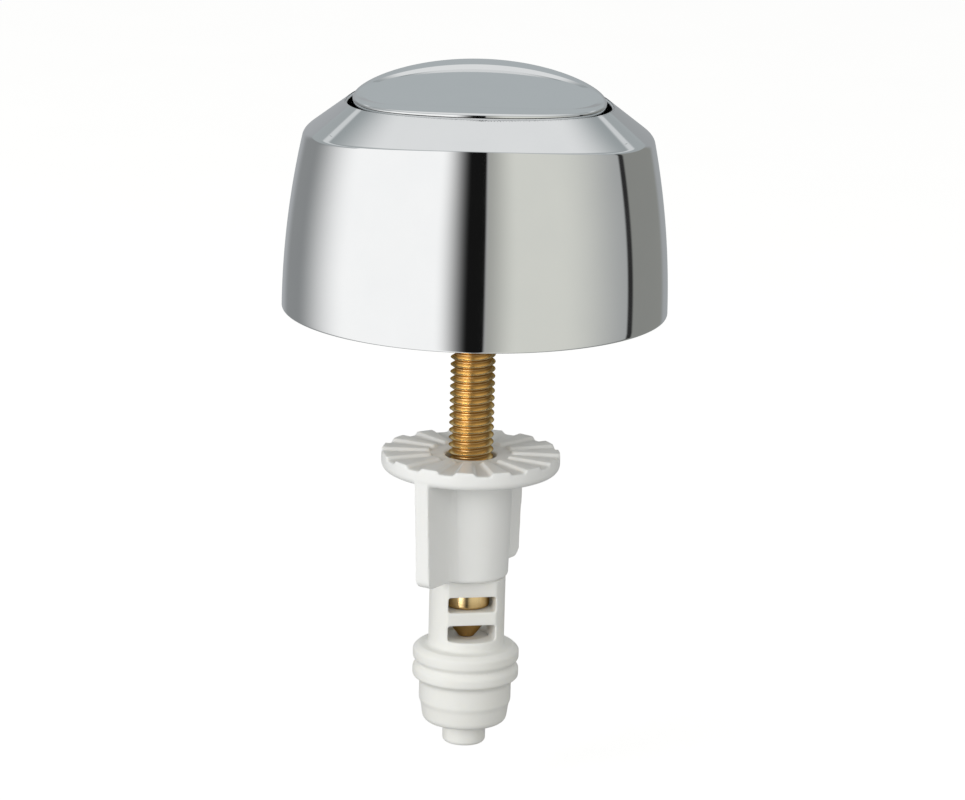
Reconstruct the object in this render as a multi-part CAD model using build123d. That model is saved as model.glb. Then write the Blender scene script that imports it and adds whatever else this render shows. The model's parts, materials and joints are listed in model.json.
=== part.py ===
from build123d import *
import os
from math import asin, cos, degrees, radians, sqrt, tan

# Push button cistern actuator, in millimetres. Z is the stud's axis, pointing up,
# and height 0 is the dome's rim, where it stands on the cistern lid.

# Dome: turned skirt with a slow inward curve, under a facet that is highest at the front and
# back, dips to the sides and is cut by a round opening
RIM_RADIUS = 25.5
SKIRT_ARC = 112.0
FRONT_SLOPE = 30.9
SIDE_SLOPE = 37.7
SHOULDER_ROUND = 0.9
OPENING_RADIUS = 17.25
OPENING_HEIGHT = 28.75
OPENING_DIP = 0.93
OPENING_ROUND = 0.3
RIM_ROUND = 0.3
SHELL_WALL = 1.5
COLLAR_WALL = 1.2
COLLAR_DEPTH = 5.4

# Button: cap with a crown arched from side to side and pitched to the front, and an oval dish
# with a flatter floor, on a carrier whose stem slides in the core
BUTTON_GAP = 0.6
BUTTON_PROUD = 1.2
BUTTON_DEPTH = 5.1
CROWN_ARC = 83.0
CROWN_PITCH = 2.4
CROWN_ROUND = 0.35
CAP_SIDE = 1.2
CAP_SKIN = 1.02
LIP_FRONT = 3.9
LIP_SIDE = 0.5
LIP_SLOPE = 0.75
DISH_DEPTH = 0.53
DISH_ARC = 126.0
CARRIER_THICKNESS = 1.0
PRESS_TRAVEL = 5.0
STEM_MARGIN = 0.38
STEM_GAP = 0.4
SOCKET_DEPTH = 6.5

# Return spring, its locating ring and the soft stop
SPRING_RADIUS = 8.0
SPRING_WIRE = 0.6
SPRING_TURNS = 3.5
SPRING_SEAT_GAP = 0.05
SPRING_RING_GAP = 0.8
SPRING_RING_WALL = 1.0
SPRING_RING_HEIGHT = 1.5
BUMP_THICKNESS = 0.8
BUMP_CLEARANCE = 0.1
BUMP_INSET = 0.2

# Core: plate screwed under the dome, with a webbed hub that holds the stud
GUIDE_RISE = 2.05
PLATE_THICKNESS = 2.0
PLATE_CLEARANCE = 0.3
HUB_WALL = 1.75
HUB_FLOOR = 4.0
WEB_COUNT = 3
WEB_TURN = 30.0
WEB_THICKNESS = 1.5
WEB_EDGE = 2.5
WEB_FOOT = 2.0
SCREW_COUNT = 3
SCREW_TURN = 90.0
SCREW_INSET = 6.1
SCREW_RADIUS = 1.4
SCREW_GRIP = 5.0
SCREW_HEAD_RADIUS = 2.6
SCREW_HEAD_HEIGHT = 1.7
SCREW_HEAD_ROUND = 0.6
RECESS_WIDTH = 0.8
RECESS_LENGTH = 2.8
RECESS_DEPTH = 0.9
BOSS_WALL = 1.0
PILOT_SPARE = 1.0

# Stud: bored M6 rod with a hexagon head, a clip groove and a cone point
STUD_RADIUS = 3.0
STUD_REACH = 45.05
POINT_LENGTH = 2.3
POINT_RADIUS = 2.8
POINT_FLAT = 1.05
NECK_RADIUS = 1.9
NECK_LENGTH = 1.95
THREAD_END_CHAMFER = 0.3
HEX_LAND = 1.0
HEX_HEIGHT = 3.5
LOCK_NUT_FLATS = 10.0
LOCK_NUT_HEIGHT = 3.2
LOCK_NUT_ABOVE_RIM = 0.4
WASHER_RADIUS = 6.0
WASHER_THICKNESS = 0.9

# Push rod and the tip that it drives out of the coupling
ROD_RADIUS = 0.8
TIP_RADIUS = 2.9
TIP_PROUD = 3.0
TIP_ROUND = 0.6
TIP_SOCKET = 7.0

# Hand nut: serrated flange, barrel and two wings
NUT_HEIGHT = 17.0
FLANGE_RADIUS = 11.95
FLANGE_THICKNESS = 2.15
FLANGE_ROUND = 1.1
RIDGE_COUNT = 15
RIDGE_HEIGHT = 0.45
RIDGE_ANGLE = 11.5
RIDGE_INNER = 5.6
RIDGE_TURN = 2.7
BARREL_RADIUS = 5.4
BARREL_DRAFT = 0.3
BARREL_ROUND = 0.4
NUT_MOUTH = 0.375
NUT_MOUTH_DEPTH = 1.5
WING_INSET = 0.1
WING_DRAFT = 0.9
WING_THICKNESS = 2.15
WING_ROOT_ROUND = 1.6
WING_LIFT = 0.2
WING_ROUND = 1.2
WING_EDGE_ROUND = 0.3
WING_TURN = 57.0

# Coupling: windowed tube that clips over the stud, with two ribs and a plug
TUBE_RADIUS = 5.1
TUBE_CLEARANCE = 0.35
TUBE_CAP = 2.3
PANEL_DEPTH = 3.93
SLOT_WIDTH = 6.4
SLOT_HEIGHT = 2.1
NECK_PLAY = 0.05
TUBE_FOOT = 1.4
RIB_COUNT = 2
RIB_RADIUS = 7.15
RIB_VALLEY = 6.45
RIB_PITCH = 2.5
RIB_LAND = 1.2
PLUG_RADIUS = 6.2
PLUG_LENGTH = 2.7
NOSE_STEP = 0.25
NOSE_LENGTH = 3.1
NOSE_TAPER = 0.35
NOSE_ROUND = 1.0
COUPLING_TURN = 11.0

# Clearances on radius between pieces that turn, slide or are pressed together
RUN_FIT = 0.05
ROD_FIT = 0.04
PRESS_FIT = 0.02
REST_GAP = 0.05

# Radii that follow from the pieces they hold
HEX_FLATS = 2 * (STUD_RADIUS + HEX_LAND)
STEM_RADIUS = HEX_FLATS / 2 / cos(radians(30)) + STEM_MARGIN
GUIDE_RADIUS = STEM_RADIUS + RUN_FIT
HUB_RADIUS = GUIDE_RADIUS + HUB_WALL
BUTTON_RADIUS = OPENING_RADIUS - BUTTON_GAP
CAP_BORE = BUTTON_RADIUS - CAP_SIDE
DISH_SIDE = BUTTON_RADIUS - LIP_SIDE - LIP_SLOPE
DISH_FRONT = BUTTON_RADIUS - LIP_FRONT - LIP_SLOPE
STUD_BORE = ROD_RADIUS + ROD_FIT
STUD_HOLE = STUD_RADIUS + RUN_FIT

# Heights of the core, from the rim up
NUT_TOP = LOCK_NUT_ABOVE_RIM + LOCK_NUT_HEIGHT
HUB_LOW = NUT_TOP + WASHER_THICKNESS
HEX_SEAT = HUB_LOW + HUB_FLOOR
HEX_TOP = HEX_SEAT + HEX_HEIGHT

# Heights of the collar, the button and the plate, from the opening
COLLAR_LOW = OPENING_HEIGHT - COLLAR_DEPTH
CROWN_TOP = OPENING_HEIGHT + BUTTON_PROUD
CAP_TOP = CROWN_TOP + BUTTON_RADIUS * tan(radians(CROWN_PITCH))
CAP_LOW = CROWN_TOP - BUTTON_DEPTH
DISH_TOP = CROWN_TOP - DISH_DEPTH
DISH_SAG = DISH_ARC - sqrt(DISH_ARC**2 - DISH_SIDE**2)
DISH_LOW = DISH_TOP - DISH_SAG - DISH_FRONT * tan(radians(CROWN_PITCH))
CAP_UNDER = DISH_LOW - CAP_SKIN
CARRIER_LOW = CAP_UNDER - CARRIER_THICKNESS
STEM_LOW = HEX_TOP + STEM_GAP + PRESS_TRAVEL
BUMP_TOP = CARRIER_LOW - PRESS_TRAVEL - BUMP_CLEARANCE
GUIDE_TOP = BUMP_TOP - BUMP_THICKNESS
PLATE_TOP = GUIDE_TOP - GUIDE_RISE
PLATE_LOW = PLATE_TOP - PLATE_THICKNESS

# Heights of the coupling and the nut, from the stud's point
NECK_LOW = POINT_LENGTH - STUD_REACH
NECK_TOP = NECK_LOW + NECK_LENGTH
BAR_LOW = NECK_LOW + NECK_PLAY
BAR_TOP = NECK_TOP - NECK_PLAY
TUBE_TOP = BAR_TOP + SLOT_HEIGHT + TUBE_CAP
SLOT_LOW = BAR_LOW - SLOT_HEIGHT
RIB_TOP = SLOT_LOW - TUBE_FOOT
PLUG_TOP = RIB_TOP - RIB_COUNT * RIB_PITCH
NOSE_TOP = PLUG_TOP - PLUG_LENGTH
NOSE_LOW = NOSE_TOP - NOSE_LENGTH
NUT_LOW = TUBE_TOP + REST_GAP
RIDGE_TOP = NUT_LOW + NUT_HEIGHT
FLANGE_TOP = RIDGE_TOP - RIDGE_HEIGHT
FLANGE_LOW = FLANGE_TOP - FLANGE_THICKNESS
TIP_TOP = -STUD_REACH - REST_GAP
TIP_LOW = NOSE_LOW - TIP_PROUD

STANDING = (Align.CENTER, Align.CENTER, Align.MIN)


def rod(radius, low, high):
    """Round bar about Z between two heights."""
    return Pos(0, 0, low) * Cylinder(radius, high - low, align=STANDING)


def hexagon_bar(across_flats, low, high):
    """Hexagon bar about Z between two heights."""
    outline = RegularPolygon(across_flats / 2, 6, major_radius=False)
    return Pos(0, 0, low) * extrude(outline, high - low)


def block(radius_a, radius_b, low, high):
    """Rectangle of a half section, from one radius and height to another."""
    return Pos((radius_a + radius_b) / 2, (low + high) / 2) * Rectangle(radius_b - radius_a, high - low)


def turned(section):
    """Solid turned about Z from a half section drawn in radius and height."""
    return revolve(Plane.XZ * section, Axis.Z)


def rounded(section, radius, height, size):
    """Half section with the corner nearest to a point rounded."""
    corner = section.vertices().sort_by_distance((radius, height, 0))[0]
    return fillet(corner, size)


def around(piece, count, start=0.0):
    """Copies of a piece, evenly turned about Z."""
    return [Rot(0, 0, start + 360 / count * index) * piece for index in range(count)]


def skirt_radius(height, inset=0.0):
    """Radius of the skirt's curve at a height, with the skin moved in by inset."""
    arc = SKIRT_ARC - inset
    return RIM_RADIUS - SKIRT_ARC + sqrt(arc**2 - height**2)


def facet_reach(edge_height, slope, height):
    """How far the facet's straight slope reaches from the axis at a height."""
    return OPENING_RADIUS + (edge_height - height) / tan(radians(slope))


def under_facet(inset):
    """All that lies under the facet, with its skin moved in by inset: ellipses that narrow upwards."""
    drop = inset / cos(radians(FRONT_SLOPE))
    outlines = []
    for height in (0, CAP_TOP):
        side = facet_reach(OPENING_HEIGHT - OPENING_DIP, SIDE_SLOPE, height)
        front = facet_reach(OPENING_HEIGHT, FRONT_SLOPE, height)
        outlines.append(Pos(0, 0, height - drop) * Ellipse(side, front))
    return loft(outlines, ruled=True)


def dome_region(inset):
    """All that lies inside the dome's skin, with the skin moved in by inset."""
    arc = SKIRT_ARC - inset
    curve = CenterArc((RIM_RADIUS - SKIRT_ARC, 0), arc, 0, degrees(asin(CAP_TOP / arc)))
    sides = Polyline(curve @ 1, (0, CAP_TOP), (0, 0), curve @ 0)
    return turned(make_face([curve, sides])) & under_facet(inset)


def widest_edge(solid, low):
    """The edge of a solid that spans most along X among those that lie above a height."""
    above = solid.edges().filter_by(lambda edge: edge.bounding_box().min.Z > low)
    return above.sort_by(lambda edge: edge.bounding_box().size.X)[-1]


def arched_bar(arc, top):
    """Bar as wide as the button under a roof arched from side to side, its ridge pitched to the front."""
    ridge = Pos(0, 0, top) * Rot(CROWN_PITCH, 0, 0)
    roof = ridge * Pos(0, 0, -arc) * Rot(90, 0, 0) * Cylinder(arc, 4 * BUTTON_RADIUS)
    return rod(BUTTON_RADIUS, 0, CAP_TOP) & roof


def plate_radius():
    """Radius of the core's plate, clear of the skirt's inside."""
    return skirt_radius(PLATE_TOP, SHELL_WALL) - PLATE_CLEARANCE


def screw_places(piece):
    """A piece repeated at the core screws, on a circle inside the rim's."""
    return around(Pos(RIM_RADIUS - SCREW_INSET, 0, 0) * piece, SCREW_COUNT, start=SCREW_TURN)


def dome_shell():
    """Chromed shell: skirt, arched facet, collar round the opening and screw bosses."""
    outside = dome_region(0)
    outside = fillet(widest_edge(outside, PLATE_TOP), SHOULDER_ROUND)
    outside = fillet(outside.edges().group_by(Axis.Z)[0], RIM_ROUND)
    outside -= rod(OPENING_RADIUS, 0, CAP_TOP)
    outside = fillet(widest_edge(outside, OPENING_HEIGHT - 2 * OPENING_DIP), OPENING_ROUND)
    collar = rod(OPENING_RADIUS + COLLAR_WALL, COLLAR_LOW, CAP_TOP)
    shell = outside - (dome_region(SHELL_WALL) - collar)
    boss = rod(SCREW_RADIUS + RUN_FIT + BOSS_WALL, PLATE_TOP, OPENING_HEIGHT)
    filled = dome_region(SHELL_WALL / 2) - rod(OPENING_RADIUS, 0, CAP_TOP)
    pilot = rod(SCREW_RADIUS + RUN_FIT, PLATE_TOP, PLATE_TOP + SCREW_GRIP + PILOT_SPARE)
    for place, hole in zip(screw_places(boss), screw_places(pilot)):
        shell = shell + (place & filled) - hole
    return shell


def guide_core():
    """Moulded plate with a webbed hub below it and the stem's guide above it."""
    core = rod(plate_radius(), PLATE_LOW, PLATE_TOP)
    core += rod(HUB_RADIUS, HUB_LOW, GUIDE_TOP)
    web_outline = Polyline(
        (GUIDE_RADIUS, PLATE_LOW),
        (plate_radius() - WEB_EDGE, PLATE_LOW),
        (HUB_RADIUS, HUB_LOW + WEB_FOOT),
        (GUIDE_RADIUS, HUB_LOW + WEB_FOOT),
        close=True,
    )
    web = extrude(Plane.XZ * make_face(web_outline), WEB_THICKNESS / 2, both=True)
    for copy in around(web, WEB_COUNT, start=WEB_TURN):
        core += copy
    core -= rod(STUD_HOLE, HUB_LOW, HEX_SEAT)
    core -= hexagon_bar(HEX_FLATS + 2 * RUN_FIT, HEX_SEAT, HEX_TOP)
    core -= rod(GUIDE_RADIUS, HEX_TOP, GUIDE_TOP)
    for hole in screw_places(rod(SCREW_RADIUS + RUN_FIT, PLATE_LOW, PLATE_TOP)):
        core -= hole
    return core


def core_screw():
    """Pan head screw about Z, from under the plate into one of the dome's bosses."""
    head_low = PLATE_LOW - SCREW_HEAD_HEIGHT
    section = block(0, SCREW_HEAD_RADIUS, head_low, PLATE_LOW)
    section = rounded(section, SCREW_HEAD_RADIUS, head_low, SCREW_HEAD_ROUND)
    screw = turned(section) + rod(SCREW_RADIUS, PLATE_LOW, PLATE_TOP + SCREW_GRIP)
    slot = Pos(0, 0, head_low) * Box(RECESS_LENGTH, RECESS_WIDTH, RECESS_DEPTH, align=STANDING)
    return screw - slot - Rot(0, 0, 90) * slot


def threaded_stud():
    """Brass stud: hexagon head, bored shank, clip groove and cone point."""
    outline = Polyline(
        (STUD_BORE, HEX_SEAT),
        (STUD_BORE, -STUD_REACH),
        (POINT_FLAT, -STUD_REACH),
        (POINT_RADIUS, NECK_LOW),
        (NECK_RADIUS, NECK_LOW),
        (NECK_RADIUS, NECK_TOP),
        (STUD_RADIUS - THREAD_END_CHAMFER, NECK_TOP),
        (STUD_RADIUS, NECK_TOP + THREAD_END_CHAMFER),
        (STUD_RADIUS, HEX_SEAT),
        close=True,
    )
    head = hexagon_bar(HEX_FLATS, HEX_SEAT, HEX_TOP) - rod(STUD_BORE, HEX_SEAT, HEX_TOP)
    return turned(make_face(outline)) + head


def stud_washer():
    """Flat washer under the hub."""
    return turned(block(STUD_HOLE, WASHER_RADIUS, NUT_TOP, HUB_LOW))


def lock_nut():
    """Half nut that draws the stud's head into the hub, its outer corners turned down to a cone."""
    nut = hexagon_bar(LOCK_NUT_FLATS, LOCK_NUT_ABOVE_RIM, NUT_TOP)
    corner = LOCK_NUT_FLATS / 2 / cos(radians(30))
    spread = (corner - LOCK_NUT_FLATS / 2) * 2
    turning = block(0, corner, LOCK_NUT_ABOVE_RIM, NUT_TOP)
    low_corner = turning.vertices().sort_by_distance((corner, LOCK_NUT_ABOVE_RIM, 0))[0]
    turning = chamfer(low_corner, spread / 4, spread / 2)
    return (nut & turned(turning)) - rod(STUD_HOLE, LOCK_NUT_ABOVE_RIM, NUT_TOP)


def bump_ring():
    """Rubber ring on the guide, where the carrier lands."""
    return turned(block(GUIDE_RADIUS + BUMP_INSET, HUB_RADIUS - BUMP_INSET, GUIDE_TOP, BUMP_TOP))


def return_spring():
    """Compression spring between the plate and the carrier."""
    low = PLATE_TOP + SPRING_SEAT_GAP + SPRING_WIRE / 2
    height = CARRIER_LOW - SPRING_SEAT_GAP - SPRING_WIRE / 2 - low
    path = Pos(0, 0, low) * Helix(pitch=height / SPRING_TURNS, height=height, radius=SPRING_RADIUS)
    section = Plane(origin=path @ 0, z_dir=path % 0) * Circle(SPRING_WIRE / 2)
    return sweep(section, path=path, is_frenet=True)


def push_button():
    """Chromed cap: arched crown, oval dish and a side that runs down into the opening."""
    cap = arched_bar(CROWN_ARC, CROWN_TOP)
    cap = fillet(widest_edge(cap, CAP_LOW), CROWN_ROUND)
    cap -= rod(BUTTON_RADIUS, 0, CAP_LOW)
    cap -= rod(CAP_BORE, 0, CAP_UNDER)
    foot = Pos(0, 0, DISH_LOW) * Ellipse(DISH_SIDE, DISH_FRONT)
    mouth = Pos(0, 0, CAP_TOP) * Ellipse(DISH_SIDE + LIP_SLOPE, DISH_FRONT + LIP_SLOPE)
    return cap - (loft([foot, mouth], ruled=True) - arched_bar(DISH_ARC, DISH_TOP))


def button_carrier():
    """Moulded disc pressed into the cap, with the guided stem and the spring's locating ring."""
    ring_bore = SPRING_RADIUS + SPRING_WIRE / 2 + SPRING_RING_GAP
    carrier = rod(CAP_BORE - PRESS_FIT, CARRIER_LOW, CAP_UNDER)
    carrier += rod(STEM_RADIUS, STEM_LOW, CARRIER_LOW)
    carrier += turned(
        block(ring_bore, ring_bore + SPRING_RING_WALL, CARRIER_LOW - SPRING_RING_HEIGHT, CARRIER_LOW)
    )
    return carrier - rod(ROD_RADIUS + PRESS_FIT, STEM_LOW, STEM_LOW + SOCKET_DEPTH)


def push_rod():
    """Steel rod through the stud, from the carrier's stem to the push tip."""
    return rod(ROD_RADIUS, TIP_TOP - TIP_SOCKET, STEM_LOW + SOCKET_DEPTH)


def push_tip():
    """Moulded tip on the rod's lower end, which the stud's point stops at the top of its travel."""
    section = block(ROD_RADIUS + PRESS_FIT, TIP_RADIUS, TIP_TOP - TIP_SOCKET, TIP_TOP)
    section += block(0, TIP_RADIUS, TIP_LOW, TIP_TOP - TIP_SOCKET)
    section = rounded(section, TIP_RADIUS, TIP_LOW, TIP_ROUND)
    return turned(section)


def nut_wings():
    """The nut's two wings along X, filled where they leave the barrel, from their foot into the flange."""
    low = NUT_LOW + WING_LIFT
    high = FLANGE_LOW + FLANGE_ROUND
    reach = FLANGE_RADIUS - WING_INSET
    plan = Circle(BARREL_RADIUS - BARREL_ROUND / 4) + Rectangle(4 * reach, WING_THICKNESS)
    roots = plan.vertices().sort_by(SortBy.DISTANCE)[:4]
    wings = Pos(0, 0, low) * extrude(fillet(roots, WING_ROOT_ROUND), high - low)
    outline = Polyline((0, low), (reach - WING_DRAFT, low), (reach, high), (0, high), close=True)
    wings = wings & turned(rounded(make_face(outline), reach - WING_DRAFT, low, WING_ROUND))
    ends = wings.edges().filter_by(lambda edge: edge.bounding_box().size.Z > (high - low) / 2)
    return fillet(ends.sort_by(SortBy.DISTANCE)[-4:], WING_EDGE_ROUND)


def hand_nut():
    """Moulded nut: serrated clamping flange, drafted barrel and two wings."""
    section = block(0, FLANGE_RADIUS, FLANGE_LOW, FLANGE_TOP)
    section = rounded(section, FLANGE_RADIUS, FLANGE_LOW, FLANGE_ROUND)
    barrel = Polyline(
        (0, NUT_LOW),
        (BARREL_RADIUS, NUT_LOW),
        (BARREL_RADIUS + BARREL_DRAFT, FLANGE_TOP),
        (0, FLANGE_TOP),
        close=True,
    )
    section += rounded(make_face(barrel), BARREL_RADIUS, NUT_LOW, BARREL_ROUND)
    nut = turned(section) + Rot(0, 0, WING_TURN) * nut_wings()
    inner = RIDGE_INNER * tan(radians(RIDGE_ANGLE / 2))
    outer = FLANGE_RADIUS * tan(radians(RIDGE_ANGLE / 2))
    sector = Polyline(
        (RIDGE_INNER, -inner),
        (FLANGE_RADIUS, -outer),
        (FLANGE_RADIUS, outer),
        (RIDGE_INNER, inner),
        close=True,
    )
    ridge = Pos(0, 0, FLANGE_TOP) * extrude(make_face(sector), RIDGE_HEIGHT)
    ridge = ridge & rod(FLANGE_RADIUS, FLANGE_TOP, RIDGE_TOP)
    for copy in around(ridge, RIDGE_COUNT, start=RIDGE_TURN):
        nut += copy
    nut -= rod(STUD_HOLE, NUT_LOW, RIDGE_TOP)
    return nut - rod(STUD_RADIUS + NUT_MOUTH, FLANGE_TOP - NUT_MOUTH_DEPTH, FLANGE_TOP)


def coupling():
    """Moulded coupling: windowed tube, clip bar in the stud's groove, two ribs and a plug."""
    rib_bevel = (RIB_PITCH - RIB_LAND) / 2
    ribs = []
    for index in range(RIB_COUNT):
        top = RIB_TOP - index * RIB_PITCH
        ribs += [
            (RIB_VALLEY, top),
            (RIB_RADIUS, top - rib_bevel),
            (RIB_RADIUS, top - rib_bevel - RIB_LAND),
        ]
    nose_radius = PLUG_RADIUS - NOSE_STEP
    outline = Polyline(
        (0, TUBE_TOP),
        (TUBE_RADIUS, TUBE_TOP),
        (TUBE_RADIUS, RIB_TOP),
        *ribs,
        (PLUG_RADIUS, PLUG_TOP),
        (PLUG_RADIUS, NOSE_TOP),
        (nose_radius, NOSE_TOP - NOSE_STEP),
        (nose_radius - NOSE_TAPER, NOSE_LOW),
        (0, NOSE_LOW),
        close=True,
    )
    section = rounded(make_face(outline), nose_radius - NOSE_TAPER, NOSE_LOW, NOSE_ROUND)
    body = turned(section)
    body -= rod(STUD_RADIUS + TUBE_CLEARANCE, BAR_TOP, TUBE_TOP)
    body -= rod(NECK_RADIUS + RUN_FIT, BAR_LOW, BAR_TOP)
    body -= rod(TIP_RADIUS + RUN_FIT, NOSE_LOW, BAR_LOW)
    window = Box(SLOT_WIDTH, 2 * RIB_RADIUS, SLOT_HEIGHT, align=STANDING)
    for low in (SLOT_LOW, BAR_TOP):
        body -= Pos(0, 0, low) * window
    flat_depth = TUBE_RADIUS - PANEL_DEPTH
    flat = Box(2 * TUBE_RADIUS, flat_depth, TUBE_TOP - SLOT_LOW, align=STANDING)
    for side in (-1, 1):
        body -= Pos(0, side * (PANEL_DEPTH + flat_depth / 2), SLOT_LOW) * flat
    return Rot(0, 0, COUPLING_TURN) * body


PIECES = (
    dome_shell,
    guide_core,
    threaded_stud,
    stud_washer,
    lock_nut,
    bump_ring,
    return_spring,
    push_button,
    button_carrier,
    push_rod,
    push_tip,
    hand_nut,
    coupling,
)

os.makedirs("parts", exist_ok=True)
for make_piece in PIECES:
    export_step(make_piece(), f"parts/{make_piece.__name__}.step")
for number, screw in enumerate(screw_places(core_screw()), start=1):
    export_step(screw, f"parts/core_screw_{number}.step")
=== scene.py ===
"""Looks of a push button cistern actuator: a chromed dome and button over a threaded brass stud,
with a white winged nut and a milky coupling, on a white studio floor."""

import json
from math import ceil, cos, degrees, hypot, pi, radians, sin, sqrt, tan, atan2

import bmesh
import bpy
from mathutils import Matrix, Vector


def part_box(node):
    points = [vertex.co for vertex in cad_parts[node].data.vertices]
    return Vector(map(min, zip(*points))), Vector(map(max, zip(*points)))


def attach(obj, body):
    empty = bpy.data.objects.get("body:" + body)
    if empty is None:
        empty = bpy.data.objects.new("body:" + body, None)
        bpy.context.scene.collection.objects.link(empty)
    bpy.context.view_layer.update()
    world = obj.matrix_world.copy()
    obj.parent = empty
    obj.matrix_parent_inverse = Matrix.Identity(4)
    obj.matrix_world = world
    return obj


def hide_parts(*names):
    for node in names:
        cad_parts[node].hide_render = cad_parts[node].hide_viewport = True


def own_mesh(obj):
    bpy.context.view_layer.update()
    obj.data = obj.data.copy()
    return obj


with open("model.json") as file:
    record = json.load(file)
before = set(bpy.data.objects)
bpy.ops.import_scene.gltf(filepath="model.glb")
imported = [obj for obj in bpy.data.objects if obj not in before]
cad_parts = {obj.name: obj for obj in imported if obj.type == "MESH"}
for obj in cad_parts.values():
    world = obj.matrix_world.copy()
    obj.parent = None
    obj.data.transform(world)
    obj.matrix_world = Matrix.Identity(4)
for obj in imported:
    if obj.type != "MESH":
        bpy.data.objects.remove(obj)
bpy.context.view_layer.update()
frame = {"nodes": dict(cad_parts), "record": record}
MM = 0.001


def heights(node):
    """Lowest and highest point of a solid, in mm."""
    low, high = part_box(node)
    return low.z / MM, high.z / MM


def reach(node):
    """Radius that a solid reaches from the axis along X, in mm."""
    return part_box(node)[1].x / MM


def travel(joint):
    """How far a slide goes from rest, in mm."""
    joints = {row["name"]: row for row in frame["record"]["behaviour"]["joints"]}
    return joints[joint]["range_m"][1] / MM


# Dome, in mm
RIM_RADIUS = reach("dome_shell")
SKIRT_ARC = 112.0
FRONT_SLOPE = 30.9
SIDE_SLOPE = 37.7
SHOULDER_FRONT = 0.4
SHOULDER_SIDE = 1.3
OPENING_RADIUS = 17.25
OPENING_HEIGHT = 28.75
OPENING_DIP = 0.93
OPENING_ROUND = 0.3
RIM_ROUND = 0.3
SHELL_WALL = 1.5
COLLAR_WALL = 1.2
COLLAR_DEPTH = 5.4
EDGE_ROUND = 0.2
BOSS_RADIUS = 2.45
GUIDE_RISE = 2.05
PLATE_TOP = heights("guide_core")[1] - GUIDE_RISE
SHOULDER_SUPPORT = 0.52
OPENING_SUPPORT = 0.26
SKIRT_STEPS = 26
FACET_STEPS = 6

# Button, in mm
BUTTON_RADIUS = reach("push_button")
BUTTON_LOW = heights("push_button")[0]
CAP_UNDER = heights("button_carrier")[1]
CAP_SIDE = 1.2
BUTTON_PROUD = 1.2
CROWN_TOP = OPENING_HEIGHT + BUTTON_PROUD
CROWN_ARC = 83.0
CROWN_PITCH = 2.4
CROWN_ROUND = 0.35
CROWN_SUPPORT = 0.4
CROWN_STEPS = 4
LIP_FRONT = 3.9
LIP_SIDE = 0.5
LIP_SLOPE = 0.75
LIP_ROUND = 0.12
DISH_DEPTH = 0.53
DISH_ARC = 126.0
DISH_STEPS = 24
DISH_SIDE = BUTTON_RADIUS - LIP_SIDE - LIP_SLOPE
DISH_FRONT = BUTTON_RADIUS - LIP_FRONT - LIP_SLOPE

# Return spring, in mm
SPRING_LOW, SPRING_HIGH = heights("return_spring")
SPRING_WIRE = 0.6
SPRING_RADIUS = reach("return_spring") - SPRING_WIRE / 2
SPRING_TURNS = 3.5
SPRING_PRESSED = 1.0 - travel("button_press") / (SPRING_HIGH - PLATE_TOP)

# Stud and its thread, in mm
STUD_LOW, HEX_TOP = heights("threaded_stud")
STUD_RADIUS = 3.0
STUD_BORE = 0.84
THREAD_PITCH = 1.0
THREAD_DEPTH = 0.613
THREAD_SINK = 0.04
THREAD_CORE = STUD_RADIUS - THREAD_DEPTH - THREAD_SINK
CREST_BAND = 0.12
CREST_FLAT = 0.08
ROOT_FLAT = 0.1
THREAD_COLUMNS = 96
ROWS_PER_PITCH = 16
HEX_HEIGHT = 3.5
HEX_FLATS = 8.0
HEX_ANGLE = 60.0
HEX_ROUND = 0.15
HEX_SEAT = HEX_TOP - HEX_HEIGHT
POINT_LENGTH = 2.3
POINT_RADIUS = 2.8
POINT_FLAT = 1.05
POINT_ROUND = 0.12
NECK_RADIUS = 1.9
NECK_LENGTH = 1.95
NECK_ROUND = 0.1
NECK_LOW = STUD_LOW + POINT_LENGTH
NECK_TOP = NECK_LOW + NECK_LENGTH
END_LENGTH = 2.2
END_ROUND = 0.35
END_TOP_ROUND = 0.25
THREAD_LOW = NECK_TOP + END_LENGTH

# Winged nut, in mm
NUT_LOW, RIDGE_TOP = heights("hand_nut")
FLANGE_RADIUS = reach("hand_nut")
FLANGE_THICKNESS = 2.15
FLANGE_ROUND = 1.1
RIDGE_COUNT = 15
RIDGE_HEIGHT = 0.45
RIDGE_ANGLE = 11.5
RIDGE_DRAFT = 1.4
RIDGE_INNER = 5.6
RIDGE_TURN = 2.7
BARREL_RADIUS = 5.4
BARREL_DRAFT = 0.3
BARREL_ROUND = 0.4
BARREL_FILLET = 0.3
STUD_HOLE = 3.05
NUT_MOUTH = 3.375
NUT_MOUTH_DEPTH = 1.5
WING_INNER = 4.0
WING_REACH = FLANGE_RADIUS - 0.1
WING_DRAFT = 0.9
WING_THICKNESS = 2.15
WING_ROOT_ROUND = 1.6
WING_LIFT = 0.2
WING_ROUND = 1.2
WING_TURN = 57.0
FLANGE_TOP = RIDGE_TOP - RIDGE_HEIGHT
FLANGE_LOW = FLANGE_TOP - FLANGE_THICKNESS

# Coupling and push tip, in mm
NOSE_LOW, TUBE_TOP = heights("coupling")
TIP_LOW, TIP_TOP = heights("push_tip")
TUBE_RADIUS = 5.1
TUBE_BORE = 3.35
NECK_HOLE = 1.95
TIP_BORE = 2.95
PANEL_DEPTH = 3.93
SLOT_WIDTH = 6.4
SLOT_HEIGHT = 2.1
NECK_PLAY = 0.05
TUBE_FOOT = 1.4
RIB_COUNT = 2
RIB_RADIUS = 7.15
RIB_VALLEY = 6.45
RIB_PITCH = 2.5
RIB_LAND = 1.2
RIB_ROUND = 0.35
PLUG_RADIUS = 6.2
PLUG_LENGTH = 2.7
PLUG_ROUND = 0.8
NOSE_STEP = 0.25
NOSE_SLOPE = 0.6
NOSE_TAPER = 0.35
NOSE_ROUND = 1.0
COUPLING_TURN = 11.0
TIP_RADIUS = 2.9
TIP_ROUND = 0.6
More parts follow.
